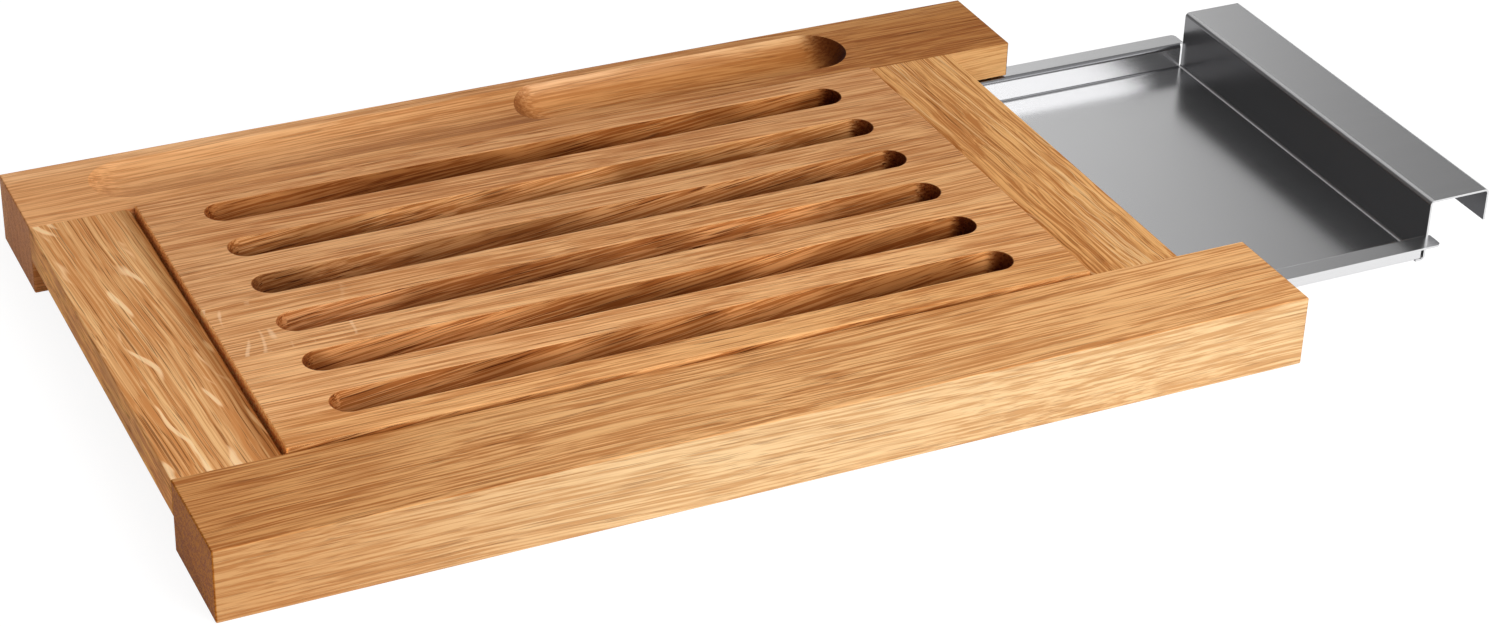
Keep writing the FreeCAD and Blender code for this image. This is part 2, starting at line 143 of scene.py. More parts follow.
def placeGroup(tree, group, **sockets):
    node = tree.nodes.new("ShaderNodeGroup")
    node.node_tree = group
    for name, value in sockets.items():
        setInput(tree, node, name.replace("_", " "), value)
    return node


def linear(red, green, blue):
    # a colour written as 0 to 255 screen values
    def channel(value):
        value = value / 255
        return value / 12.92 if value <= 0.04045 else ((value + 0.055) / 1.055) ** 2.4
    return (channel(red), channel(green), channel(blue), 1.0)


# each pattern's cycles per metre across and along the grain, its shift, and how fine and rough it is
grainPatterns = {
    "drift": {"across": 14, "along": 4, "shift": (0.0, 0.0, 0.0), "detail": 1.0, "roughness": 0.5},
    "ripple": {"across": 90, "along": 34, "shift": (4.2, 0.3, 1.1), "detail": 1.0, "roughness": 0.5},
    "bands": {"across": 260, "along": 8, "shift": (0.0, 0.0, 0.0), "detail": 2.0, "roughness": 0.5},
    "threads": {"across": 900, "along": 40, "shift": (3.1, 1.7, 0.4), "detail": 3.0, "roughness": 0.6},
    "cloud": {"across": 22, "along": 9, "shift": (1.9, 4.4, 8.1), "detail": 2.0, "roughness": 0.5},
    "pores": {"across": 1700, "along": 60, "shift": (0.7, 9.2, 2.6), "detail": 1.0, "roughness": 0.5},
}
figureShape = {
    "yearChange": 5.0,  # how fast the years change along the plank
    "yearScale": 0.8,
    "yearDetail": 2.0,
    "yearRoughness": 0.6,
    "middle": 0.5,
    "cloud": 0.3,
    "toneSpan": (0.3, 0.7),
    "poreSpan": (0.57, 0.7),
    "poreYears": (0.6, 0.35, 0.35, 1.0),  # pores thin out in the summer wood
    "rough": (0.3, 0.7, 0.5, 0.6),
    "poreRough": 0.2,
    "threadHeight": 0.5,
}
# how steep, tilted or turned a face is where each share starts and where it is full
faceLimits = {
    "end": (0.02, 0.75),
    "upright": (0.85, 0.4),
    "tilt": (0.998, 0.94),
    "backShade": (0.03, 0.3),
}
fleckShape = {
    "wobbleScale": 45.0,
    "wobbleDetail": 1.0,
    "lensScale": 0.55,
    "lensDetail": 0.0,
    "edge": (0.78, 0.5),  # the noise level of a fleck's edge, for no cover and for full cover
    "softness": 0.09,
}
# metres from a stave's ends and below its top
staveReach = {
    "inside": (0.001, 0.002),
    "edge": (0.0008, 0.0002),
    "deep": (0.002, 0.011),
}
patchShape = {
    "cycles": (30, 16),
    "detail": 1.0,
    "span": (0.42, 0.6),
}


def bend(tree, vector, wobble, amount):
    # pushes a place about by a coloured noise
    centred = vectorCalc(tree, "SUBTRACT", wobble, second=(0.5, 0.5, 0.5))
    swing = vectorCalc(tree, "SCALE", centred.outputs[0], Scale=amount)
    return vectorCalc(tree, "ADD", vector, second=swing.outputs[0]).outputs[0]


def grainNoise(tree, vector, name):
    pattern = grainPatterns[name]
    place = stretched(tree, vector, pattern["across"], pattern["along"], pattern["shift"])
    return addNode(tree, "ShaderNodeTexNoise", Vector=place, Scale=1.0, Detail=pattern["detail"],
                   Roughness=pattern["roughness"]).outputs


def centredShare(tree, value, weight):
    # a pattern's swing about its middle, times a weight
    return calc(tree, "MULTIPLY", calc(tree, "SUBTRACT", value, figureShape["middle"]), weight)


def makeOakGroup():
    # plank coordinates in metres: grain along X, the heart of the tree along Y = Z = 0
    tree, given, made = newGroup("oakFigure", [
        ("Vector", "NodeSocketVector", None),
        ("Upright", "NodeSocketFloat", 0.0),
        ("Lean", "NodeSocketFloat", 0.0),
        ("Ring Width", "NodeSocketFloat", 0.0028),
        ("Wander", "NodeSocketFloat", 0.01),
        ("Wave", "NodeSocketFloat", 0.0012),
        ("Rings", "NodeSocketFloat", 0.3),
        ("Bands", "NodeSocketFloat", 0.4),
        ("Threads", "NodeSocketFloat", 0.6),
        ("Stretch", "NodeSocketFloat", 1.0),
        ("Pores", "NodeSocketFloat", 0.5),
        ("Pale", "NodeSocketColor", (0.75, 0.47, 0.23, 1)),
        ("Middle", "NodeSocketColor", (0.56, 0.3, 0.12, 1)),
        ("Dark", "NodeSocketColor", (0.26, 0.11, 0.035, 1)),
    ], [("Color", "NodeSocketColor"), ("Roughness", "NodeSocketFloat"), ("Height", "NodeSocketFloat")])

    # the grain leans on upright faces
    lean = addNode(tree, "ShaderNodeCombineXYZ", Y=given.outputs["Lean"])
    leaning = addNode(tree, "ShaderNodeMapping", Vector=given.outputs["Vector"], Rotation=lean.outputs[0])
    where = blendVector(tree, given.outputs["Upright"], given.outputs["Vector"], leaning.outputs["Vector"])

    # it wanders slowly along the plank and ripples a little
    bent = bend(tree, where, grainNoise(tree, where, "drift")["Color"], given.outputs["Wander"])
    bent = bend(tree, bent, grainNoise(tree, where, "ripple")["Color"], given.outputs["Wave"])

    # no two years are alike, and each changes a little along the plank
    parts = addNode(tree, "ShaderNodeSeparateXYZ", Vector=bent)
    squareY = calc(tree, "MULTIPLY", parts.outputs["Y"], parts.outputs["Y"])
    squareZ = calc(tree, "MULTIPLY", parts.outputs["Z"], parts.outputs["Z"])
    radius = calc(tree, "SQRT", calc(tree, "ADD", squareY, squareZ))
    years = calc(tree, "DIVIDE", radius, given.outputs["Ring Width"])
    along = calc(tree, "MULTIPLY", parts.outputs["X"], figureShape["yearChange"])
    layers = addNode(tree, "ShaderNodeCombineXYZ", X=years, Y=along)
    rings = noise(tree, layers.outputs[0], scale=figureShape["yearScale"], detail=figureShape["yearDetail"],
                  roughness=figureShape["yearRoughness"])

    # bands and threads follow the bent grain, and clouds lie over it
    longer = addNode(tree, "ShaderNodeCombineXYZ", Y=parts.outputs["Y"], Z=parts.outputs["Z"],
                     X=calc(tree, "DIVIDE", parts.outputs["X"], given.outputs["Stretch"])).outputs[0]
    bands = grainNoise(tree, longer, "bands")["Fac"]
    threads = remap(tree, grainNoise(tree, longer, "threads")["Fac"], *figureShape["toneSpan"])
    cloud = grainNoise(tree, where, "cloud")["Fac"]
    tone = calc(tree, "ADD", figureShape["middle"], centredShare(tree, rings, given.outputs["Rings"]))
    tone = calc(tree, "ADD", tone, centredShare(tree, threads, given.outputs["Threads"]))
    tone = calc(tree, "ADD", tone, centredShare(tree, bands, given.outputs["Bands"]))
    tone = calc(tree, "ADD", tone, centredShare(tree, cloud, figureShape["cloud"]))
    tone = remap(tree, tone, *figureShape["toneSpan"])
    colour = blendColour(tree, tone, given.outputs["Middle"], given.outputs["Pale"])

    # pores: short open dashes, thicker in the spring wood
    dashes = grainNoise(tree, longer, "pores")["Fac"]
    pore = remap(tree, dashes, *figureShape["poreSpan"], smooth=True)
    pore = calc(tree, "MULTIPLY", pore, remap(tree, rings, *figureShape["poreYears"]))
    shown = calc(tree, "MULTIPLY", pore, given.outputs["Pores"], clamp=True)
    colour = blendColour(tree, shown, colour, given.outputs["Dark"])

    rough = remap(tree, threads, *figureShape["rough"])
    rough = calc(tree, "ADD", rough, calc(tree, "MULTIPLY", pore, figureShape["poreRough"]))
    height = calc(tree, "SUBTRACT", calc(tree, "MULTIPLY", threads, figureShape["threadHeight"]), pore)
    tree.links.new(colour, made.inputs["Color"])
    tree.links.new(rough, made.inputs["Roughness"])
    tree.links.new(height, made.inputs["Height"])
    return tree


def makeFaceGroup():
    # shares of a face: cut across the grain, upright, an upright side, off the level, turned to the back
    tree, given, made = newGroup("woodFaces", [
        ("Direction", "NodeSocketVector", None),
        ("Grain", "NodeSocketVector", (1, 0, 0)),
    ], [("End", "NodeSocketFloat"), ("Upright", "NodeSocketFloat"), ("Wall", "NodeSocketFloat"),
        ("Tilt", "NodeSocketFloat"), ("Back Shade", "NodeSocketFloat")])
    facing = vectorCalc(tree, "DOT_PRODUCT", given.outputs["Direction"], second=given.outputs["Grain"])
    end = remap(tree, calc(tree, "ABSOLUTE", facing.outputs["Value"]), *faceLimits["end"], smooth=True)
    parts = addNode(tree, "ShaderNodeSeparateXYZ", Vector=given.outputs["Direction"])
    level = calc(tree, "ABSOLUTE", parts.outputs["Z"])
    upright = remap(tree, level, *faceLimits["upright"], smooth=True)
    wall = calc(tree, "MULTIPLY", upright, calc(tree, "SUBTRACT", 1.0, end))
    tree.links.new(end, made.inputs["End"])
    tree.links.new(upright, made.inputs["Upright"])
    tree.links.new(wall, made.inputs["Wall"])
    tree.links.new(remap(tree, level, *faceLimits["tilt"]), made.inputs["Tilt"])
    tree.links.new(remap(tree, parts.outputs["Y"], *faceLimits["backShade"]), made.inputs["Back Shade"])
    return tree


def makeFleckGroup():
    # pale flecks of ray wood, scattered in patches and leaning across the grain
    tree, given, made = newGroup("rayFlecks", [
        ("Vector", "NodeSocketVector", None),
        ("Length", "NodeSocketFloat", 0.02),
        ("Width", "NodeSocketFloat", 0.003),
        ("Lean", "NodeSocketFloat", 0.4),
        ("Cover", "NodeSocketFloat", 0.5),
        ("Wobble", "NodeSocketFloat", 0.007),
    ], [("Mask", "NodeSocketFloat")])
    wobble = addNode(tree, "ShaderNodeTexNoise", Vector=given.outputs["Vector"],
                     Scale=fleckShape["wobbleScale"], Detail=fleckShape["wobbleDetail"])
    bent = bend(tree, given.outputs["Vector"], wobble.outputs["Color"], given.outputs["Wobble"])
    turned = addNode(tree, "ShaderNodeVectorRotate", Vector=bent, Angle=given.outputs["Lean"])
    turned.rotation_type = "Z_AXIS"
    parts = addNode(tree, "ShaderNodeSeparateXYZ", Vector=turned.outputs["Vector"])
    cell = addNode(tree, "ShaderNodeCombineXYZ",
                   X=calc(tree, "DIVIDE", parts.outputs["X"], given.outputs["Length"]),
                   Y=calc(tree, "DIVIDE", parts.outputs["Y"], given.outputs["Width"]),
                   Z=calc(tree, "DIVIDE", parts.outputs["Z"], given.outputs["Length"]))
    lens = noise(tree, cell.outputs[0], scale=fleckShape["lensScale"], detail=fleckShape["lensDetail"])
    edge = remap(tree, given.outputs["Cover"], 0.0, 1.0, *fleckShape["edge"])
    mask = remap(tree, calc(tree, "SUBTRACT", lens, edge), 0.0, fleckShape["softness"], smooth=True)
    tree.links.new(mask, made.inputs["Mask"])
    return tree


def makeTintGroup():
    # multiplies a colour by a tone where the share says so; the tone changes from left to right
    tree, given, made = newGroup("sideTone", [
        ("Color", "NodeSocketColor", None),
        ("Share", "NodeSocketFloat", 1.0),
        ("Rightward", "NodeSocketFloat", 0.0),
        ("Left", "NodeSocketColor", (1, 1, 1, 1)),
        ("Right", "NodeSocketColor", (1, 1, 1, 1)),
    ], [("Color", "NodeSocketColor")])
    tone = blendColour(tree, given.outputs["Rightward"], given.outputs["Left"], given.outputs["Right"])
    whole = blendColour(tree, 1.0, given.outputs["Color"], tone, "MULTIPLY")
    partly = blendColour(tree, given.outputs["Share"], given.outputs["Color"], whole)
    tree.links.new(partly, made.inputs["Color"])
    return tree


def makeStrengthGroup():
    # a figure's strength: its own, and what walls and ends add to it
    tree, given, made = newGroup("figureStrength", [
        ("Own", "NodeSocketFloat", 0.5),
        ("On Walls", "NodeSocketFloat", 0.0),
        ("On Ends", "NodeSocketFloat", 0.0),
        ("Wall", "NodeSocketFloat", 0.0),
        ("End", "NodeSocketFloat", 0.0),
    ], [("Strength", "NodeSocketFloat")])
    extra = calc(tree, "MULTIPLY", given.outputs["Wall"], given.outputs["On Walls"])
    extra = calc(tree, "ADD", extra, calc(tree, "MULTIPLY", given.outputs["End"], given.outputs["On Ends"]))
    tree.links.new(calc(tree, "ADD", given.outputs["Own"], extra), made.inputs["Strength"])
    return tree


def makeCalmGroup():
    # how far the figure fades: at the left end, at the right end, on walls and on tilted faces
    tree, given, made = newGroup("calmShare", [
        ("Rightward", "NodeSocketFloat", 0.0),
        ("Wall", "NodeSocketFloat", 0.0),
        ("Tilt", "NodeSocketFloat", 0.0),
        ("Left", "NodeSocketFloat", 0.0),
        ("Right", "NodeSocketFloat", 0.0),
        ("On Walls", "NodeSocketFloat", 0.0),
    ], [("Mask", "NodeSocketFloat")])
    calm = remap(tree, given.outputs["Rightward"], 0.0, 1.0, given.outputs["Left"], given.outputs["Right"])
    walls = calc(tree, "MULTIPLY", given.outputs["Wall"], given.outputs["On Walls"])
    tilted = calc(tree, "MULTIPLY", given.outputs["Tilt"], given.outputs["Left"])
    calm = calc(tree, "MAXIMUM", calc(tree, "MAXIMUM", calm, walls), tilted)
    tree.links.new(calm, made.inputs["Mask"])
    return tree


def makePatchGroup():
    # soft patches, where walls are darker
    tree, given, made = newGroup("wallPatches", [
        ("Vector", "NodeSocketVector", None),
        ("Amount", "NodeSocketFloat", 1.0),
    ], [("Mask", "NodeSocketFloat")])
    place = stretched(tree, given.outputs["Vector"], *patchShape["cycles"])
    patch = noise(tree, place, detail=patchShape["detail"])
    patch = remap(tree, patch, *patchShape["span"], smooth=True)
    tree.links.new(calc(tree, "MULTIPLY", patch, given.outputs["Amount"]), made.inputs["Mask"])
    return tree


def makeStaveGroup():
    # the part of a stave clear of its two ends, its left edge, and the depth in a slot
    tree, given, made = newGroup("stavePlaces", [
        ("Vector", "NodeSocketVector", None),
        ("Left", "NodeSocketFloat", 0.0),
        ("Right", "NodeSocketFloat", 0.0),
        ("Top", "NodeSocketFloat", 0.0),
    ], [("Inside", "NodeSocketFloat"), ("Edge", "NodeSocketFloat"), ("Deep", "NodeSocketFloat")])
    parts = addNode(tree, "ShaderNodeSeparateXYZ", Vector=given.outputs["Vector"])
    fromLeft = calc(tree, "SUBTRACT", parts.outputs["X"], given.outputs["Left"])
    fromRight = calc(tree, "SUBTRACT", given.outputs["Right"], parts.outputs["X"])
    below = calc(tree, "SUBTRACT", given.outputs["Top"], parts.outputs["Z"])
    inside = calc(tree, "MULTIPLY", remap(tree, fromLeft, *staveReach["inside"]),
                  remap(tree, fromRight, *staveReach["inside"]))
    tree.links.new(inside, made.inputs["Inside"])
    tree.links.new(remap(tree, fromLeft, *staveReach["edge"]), made.inputs["Edge"])
    tree.links.new(remap(tree, below, *staveReach["deep"]), made.inputs["Deep"])
    return tree


oakGroup = makeOakGroup()
faceGroup = makeFaceGroup()
fleckGroup = makeFleckGroup()
tintGroup = makeTintGroup()
strengthGroup = makeStrengthGroup()
calmGroup = makeCalmGroup()
patchGroup = makePatchGroup()
staveGroup = makeStaveGroup()
print("shared effects made:", len(bpy.data.node_groups))


def tinted(tree, share, colour, left, right=None, rightward=0.0):
    # one tone all over, or two that blend from left to right
    right = left if right is None else right
    node = placeGroup(tree, tintGroup, Color=colour, Share=share, Rightward=rightward,
                      Left=(*left[:3], 1), Right=(*right[:3], 1))
    return node.outputs["Color"]


# heart: where the middle of the tree was, in metres; turn: how the grain leans, in degrees;
# ringWidth, wander and wave: metres to a year, and how far the grain bends and ripples;
# tint: the plank's tone at its left and right ends; fade: the share of its length on which it changes;
# end, wall, tilt and lee: the same, by the way a face looks; besides the darker end grain, these are painted
# light and shade: ends, slot walls and faces turned to the back darker where they lie in shade, sloped and
# upright faces lighter or darker as the light falls on them;
# calm: how far the figure fades at the left end, at the right end and on walls;
# shades: the axis, where a tone starts, where it is full, and the tone; wallShade: the same on Y, for walls;
# patch: how dark the patches on its walls are; seam: painted shade, a darker line along its front edge;
# outerEnd: its left end's tone
oakPieces = {
    "front_beam": {
        "heart": (0.0, -0.09, -0.10), "turn": (0.0, 0.5, 0.6), "ringWidth": 0.0030, "wander": 0.013,
        "tint": ((0.82, 0.70, 0.60), (1.06, 1.07, 1.14)), "fade": 0.4,
        "wall": ((0.90, 1.05, 1.3), (0.88, 1.11, 1.44)), "calm": (0.0, 0.1, 0.36), "threads": 0.95,
    },
    "rear_beam": {
        "heart": (0.0, 0.30, -0.03), "turn": (0.0, -0.6, 0.4), "ringWidth": 0.0022, "wander": 0.012,
        # the rear beam darkens toward its right end
        "tint": ((1.22, 1.18, 1.32), (0.60, 0.46, 0.33)),
        "wall": ((0.85, 0.75, 0.65), (1.6, 2.25, 3.6)),
        "end": ((0.92, 0.85, 0.78), (0.38, 0.28, 0.21)), "tilt": ((1.05, 1.03, 0.98), (1.02, 1.0, 0.92)),
        # painted shade on the faces turned to the back, such as the recess's near slope
        "backShade": ((0.85, 0.78, 0.7), (0.50, 0.34, 0.23)), "outerEnd": (0.70, 0.66, 0.66, 1.0),
        "calm": (0.42, 0.0, 0.2), "rings": 0.7, "shades": [("Y", 0.148, 0.158, (1.12, 1.24, 1.42))],
    },
    "left_cross_rail": {
        "heart": (-0.30, 0.0, -0.12), "turn": (0.0, 0.0, 92.0), "ringWidth": 0.0042, "wander": 0.012,
        "bands": 0.65, "rings": 0.65, "threads": 0.6, "stretch": 5.0, "wave": 0.001,
        "pale": linear(232, 187, 128), "middle": linear(197, 133, 74), "patch": 0.5,
        "tint": ((1.25, 1.20, 1.22), (1.20, 1.15, 1.18)),
        "wall": ((0.96, 0.80, 0.50), (0.96, 0.80, 0.50)),
        # painted shadow of the proud panel along the rail's inner edge
        "shades": [("X", -0.2830, -0.2735, (0.55, 0.45, 0.33))],
        "flecks": {"length": 0.016, "width": 0.0024, "lean": -9.0, "cover": 0.41, "share": 0.75,
                   "wobble": 0.008},
    },
    "right_cross_rail": {
        "heart": (0.05, 0.0, -0.14), "turn": (0.0, 0.0, 91.0), "ringWidth": 0.0024, "wander": 0.015,
        "wave": 0.003, "stretch": 4.0, "tint": ((0.92, 0.84, 0.74), (0.99, 0.96, 0.90)),
        "flecks": {"length": 0.060, "width": 0.0006, "lean": -2.0, "cover": 0.47, "share": 0.5,
                   "wobble": 0.005},
    },
    "panel_stave_1": {
        "heart": (0.0, -0.30, 0.06), "turn": (0.0, 1.0, 0.4), "ringWidth": 0.0020,
        "tint": ((1.16, 1.13, 1.17), (1.01, 0.98, 0.98)), "seamShade": True,
        "wall": ((0.85, 0.85, 0.84), (0.93, 0.94, 0.95)),
    },
    "panel_stave_2": {
        "heart": (0.0, -0.26, 0.00), "turn": (0.0, -1.0, -0.5), "ringWidth": 0.0026,
        "tint": ((1.21, 1.22, 1.39), (1.05, 1.04, 1.13)),
        "wall": ((0.83, 0.70, 0.57), (1.01, 0.85, 0.68)),
    },
    "panel_stave_3": {
        "heart": (0.0, 0.22, 0.07), "turn": (0.0, 1.0, 0.6), "ringWidth": 0.0024,
        "tint": ((1.13, 1.13, 1.29), (1.01, 1.01, 1.11)),
        "wall": ((0.90, 0.79, 0.71), (1.22, 1.10, 0.96)),
        "flecks": {"length": 0.0018, "width": 0.030, "lean": 9.0, "cover": 0.47, "share": 0.42,
                   "wobble": 0.006, "until": -0.20},
    },
    "panel_stave_4": {
        "heart": (0.0, 0.28, -0.03), "turn": (0.0, -0.5, 0.9), "ringWidth": 0.0022,
        "tint": ((1.05, 1.03, 1.18), (0.93, 0.90, 0.98)),
        "wall": ((0.70, 0.62, 0.53), (0.95, 0.84, 0.71)),
    },
    "panel_stave_5": {
        "heart": (0.0, -0.16, 0.08), "turn": (0.0, 0.7, -0.6), "ringWidth": 0.0026,
        "tint": ((1.0, 0.94, 1.03), (0.89, 0.84, 0.91)),
        "wall": ((1.08, 1.06, 0.98), (1.34, 1.35, 1.24)),
        "wallShade": (0.070, 0.090, (0.65, 0.52, 0.40)),
    },
}
# the eight dowels share one wood
dowelPiece = {"heart": (0.0, 0.03, 0.03), "turn": (0.0, 0.0, 90.0), "ringWidth": 0.0018}
dowelNodes = ["front_left_dowels", "rear_left_dowels", "front_right_dowels", "rear_right_dowels"]
oakFinish = {
    # each figure's strength on level faces, and what walls and ends add to it
    "staveFigure": {"rings": (0.32, 0.6, 0.6), "bands": (0.38, 0.2, 0.0), "threads": (0.68, 1.2, 0.4),
                    "pores": (0.7, 0.5, 0.3)},
    "beamFigure": {"rings": (0.45, 0.0, 0.7), "bands": (0.5, 0.0, 0.0), "threads": (0.85, 0.0, 1.0),
                   "pores": (0.7, 0.0, 0.3)},
    "staveLean": 6.0,  # degrees that the grain leans on a stave's walls
    "wander": 0.009,
    "wave": 0.0009,
    "stretch": 2.2,
    "fade": 1.0,
    "cream": linear(252, 216, 164),
    "pale": linear(238, 183, 120),
    "middle": linear(192, 126, 68),
    "calm": linear(212, 154, 94),
    "dark": linear(112, 60, 26),
    "plain": ((1.0, 1.0, 1.0), (1.0, 1.0, 1.0)),
    "beamEnd": ((0.83, 0.70, 0.38), (0.83, 0.70, 0.38)),
    # ends and slot walls darker: partly end grain, partly painted shade, with the right ends, which lie in
    # shadow, darkest
    "staveEnd": ((0.76, 0.66, 0.56), (0.44, 0.31, 0.23)),
    "staveWall": ((0.70, 0.53, 0.40), (0.76, 0.60, 0.46)),
    "stavePatch": 1.0,
    "patch": (0.60, 0.53, 0.46),
    # painted shade deep in the slots, and painted light on the panel's left edge face
    "deep": (0.66, 0.57, 0.50),
    "leftEdgeLight": (1.45, 1.28, 0.95),
    "outerEndReach": (0.0008, 0.0002),  # metres from the plank's left end
    "fleckFade": 0.02,  # metres on which the flecks die out
    # painted shade along the panel's front edge
    "seamShade": (0.75, 0.62, 0.50),
    "seamReach": (0.0008, 0.0002),  # metres from the front
    "seamDepth": (0.0009, 0.0016),  # metres below the top
    "acrossTurn": 45,  # degrees of turn from which the grain runs from front to back
    "bump": 0.00012,
    "bumpStrength": 1.0,
    "gloss": 0.05,
}


def cornerSpan(node, axis):
    # a piece's reach along one axis, straight from its mesh
    reach = [corner[axis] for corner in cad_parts[node].bound_box]
    return min(reach), max(reach)


def dress(node, material):
    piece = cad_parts[node]
    piece.data.materials.clear()
    piece.data.materials.append(material)


def strengths(tree, plank, stave, wallShare, endShare):
    # how strongly each part of the figure shows
    figures = {}
    for part, (level, onWalls, onEnds) in oakFinish["staveFigure" if stave else "beamFigure"].items():
        node = placeGroup(tree, strengthGroup, Own=plank.get(part, level), On_Walls=onWalls,
                          On_Ends=onEnds, Wall=wallShare, End=endShare)
        figures[part.capitalize()] = node.outputs["Strength"]
    return figures


def addFlecks(tree, plank, colour, where, xPlace, wall):
    flecks = plank["flecks"]
    ray = placeGroup(tree, fleckGroup, Vector=where, Length=flecks["length"], Width=flecks["width"],
                     Lean=math.radians(flecks["lean"]), Cover=flecks["cover"], Wobble=flecks["wobble"])
    share = calc(tree, "MULTIPLY", ray.outputs["Mask"], flecks["share"])
    share = calc(tree, "MULTIPLY", share, calc(tree, "SUBTRACT", 1.0, wall))
    if "until" in flecks:
        nearEnd = remap(tree, xPlace, flecks["until"], flecks["until"] - oakFinish["fleckFade"], smooth=True)
        share = calc(tree, "MULTIPLY", share, nearEnd)
    return blendColour(tree, share, colour, oakFinish["cream"])


def addSeam(tree, name, colour, parts, top):
    # painted shade: a dark line along the panel's front edge, at the joint with the front beam
    front = cornerSpan(name, 1)[0]
    starts, full = oakFinish["seamReach"]
    near = remap(tree, parts.outputs["Y"], front + starts, front + full)
    starts, full = oakFinish["seamDepth"]
    near = calc(tree, "MULTIPLY", near, remap(tree, parts.outputs["Z"], top - starts, top - full))
    return tinted(tree, near, colour, oakFinish["seamShade"])


def makeOak(name, plank):
    material = bpy.data.materials.new("oak_" + name)
    material.use_nodes = True
    tree = material.node_tree
    shader = tree.nodes["Principled BSDF"]
    place = addNode(tree, "ShaderNodeTexCoord")
    position = place.outputs["Object"]
    mapping = tree.nodes.new("ShaderNodeMapping")
    mapping.vector_type = "TEXTURE"
    tree.links.new(position, mapping.inputs["Vector"])
    mapping.inputs["Location"].default_value = plank["heart"]
    mapping.inputs["Rotation"].default_value = [math.radians(angle) for angle in plank["turn"]]
    where = mapping.outputs["Vector"]
    acrossRail = abs(plank["turn"][2]) > oakFinish["acrossTurn"]
    faces = placeGroup(tree, faceGroup, Direction=place.outputs["Normal"],
                       Grain=(0, 1, 0) if acrossRail else (1, 0, 0)).outputs
    parts = addNode(tree, "ShaderNodeSeparateXYZ", Vector=position)
    xPlace = parts.outputs["X"]
    low, high = cornerSpan(name, 0)
    top = cornerSpan(name, 2)[1]
    stave = name.startswith("panel_stave")
    wallShare = faces["Wall"]
    endShare = faces["End"]
    if stave:
        # the slots' walls and ends, without the panel's own two ends
        reach = placeGroup(tree, staveGroup, Vector=position, Left=low, Right=high, Top=top).outputs
        wallShare = calc(tree, "MULTIPLY", faces["Upright"], reach["Inside"])
        endShare = calc(tree, "MULTIPLY", faces["End"], reach["Inside"])

    figure = placeGroup(tree, oakGroup, Vector=where, Upright=faces["Upright"],
                        Lean=math.radians(oakFinish["staveLean"]) if stave else 0.0,
                        Ring_Width=plank["ringWidth"], Wander=plank.get("wander", oakFinish["wander"]),
                        Wave=plank.get("wave", oakFinish["wave"]),
                        Stretch=plank.get("stretch", oakFinish["stretch"]),
                        Pale=plank.get("pale", oakFinish["pale"]),
                        Middle=plank.get("middle", oakFinish["middle"]), Dark=oakFinish["dark"],
                        **strengths(tree, plank, stave, wallShare, faces["End"]))
    colour = figure.outputs["Color"]
    if "flecks" in plank:
        colour = addFlecks(tree, plank, colour, where, xPlace, faces["Wall"])
    rightward = remap(tree, xPlace, low, low + (high - low) * plank.get("fade", oakFinish["fade"]),
                      smooth=True)
    if "calm" in plank:
        left, right, onWalls = plank["calm"]
        calm = placeGroup(tree, calmGroup, Rightward=rightward, Wall=faces["Wall"], Tilt=faces["Tilt"],
                          Left=left, Right=right, On_Walls=onWalls)
        colour = blendColour(tree, calm.outputs["Mask"], colour, oakFinish["calm"])

    endTones = plank.get("end", oakFinish["staveEnd" if stave else "beamEnd"])
    wallTones = plank.get("wall", oakFinish["staveWall" if stave else "plain"])
    for tones, share in (
        (plank.get("tint", oakFinish["plain"]), 1.0),
        (endTones, endShare),
        # laid on twice: end grain is darker, and painted shade darkens most the right ends, which lie in
        # shadow
        (endTones, endShare),  # laid on twice, as the ends are so dark
        (wallTones, wallShare),
        (plank.get("tilt", oakFinish["plain"]), faces["Tilt"]),
        # painted shade on faces turned to the back
        (plank.get("backShade", oakFinish["plain"]), faces["Back Shade"]),
    ):
        colour = tinted(tree, share, colour, *tones, rightward=rightward)
    if "outerEnd" in plank:
        starts, full = oakFinish["outerEndReach"]
        outer = calc(tree, "MULTIPLY", remap(tree, xPlace, low + starts, low + full), faces["End"])
        colour = tinted(tree, outer, colour, plank["outerEnd"])
    for axis, starts, full, tone in plank.get("shades", []):
        # a tone that changes toward one side: on the left rail a painted shadow of the panel along its inner
        # edge, on the rear beam a paler strip at the back
        colour = tinted(tree, remap(tree, parts.outputs[axis], starts, full, smooth=True), colour, tone)
    if "wallShade" in plank:
        # painted shade: the slot walls further back are darker
        starts, full, tone = plank["wallShade"]
        behind = calc(tree, "MULTIPLY", remap(tree, parts.outputs["Y"], starts, full), wallShare)
        colour = tinted(tree, behind, colour, tone)
    patchy = plank.get("patch", oakFinish["stavePatch"] if stave else 0.0)
    if patchy:
        # walls darken in patches
        patch = placeGroup(tree, patchGroup, Vector=position, Amount=patchy)
        patch = calc(tree, "MULTIPLY", patch.outputs["Mask"], wallShare)
        colour = tinted(tree, patch, colour, oakFinish["patch"])
    if stave:
        # painted shade: the slots darken downward; painted light: the panel's left edge face is paler, as it
        # gets little light
        deep = calc(tree, "MULTIPLY", reach["Deep"], wallShare)
        colour = tinted(tree, deep, colour, oakFinish["deep"])
        colour = tinted(tree, reach["Edge"], colour, oakFinish["leftEdgeLight"])
    if "seamShade" in plank:
        colour = addSeam(tree, name, colour, parts, top)

    bump = addNode(tree, "ShaderNodeBump", Height=figure.outputs["Height"], Distance=oakFinish["bump"],
                   Strength=oakFinish["bumpStrength"])
    tree.links.new(colour, shader.inputs["Base Color"])
    tree.links.new(figure.outputs["Roughness"], shader.inputs["Roughness"])
    tree.links.new(bump.outputs["Normal"], shader.inputs["Normal"])
    shader.inputs["Specular IOR Level"].default_value = oakFinish["gloss"]
    return material


for node, plank in oakPieces.items():
    dress(node, makeOak(node, plank))
dowelWood = makeOak(dowelNodes[0], dowelPiece)
for node in dowelNodes:
    dress(node, dowelWood)
print("oak made for:", len(oakPieces) + len(dowelNodes), "pieces")

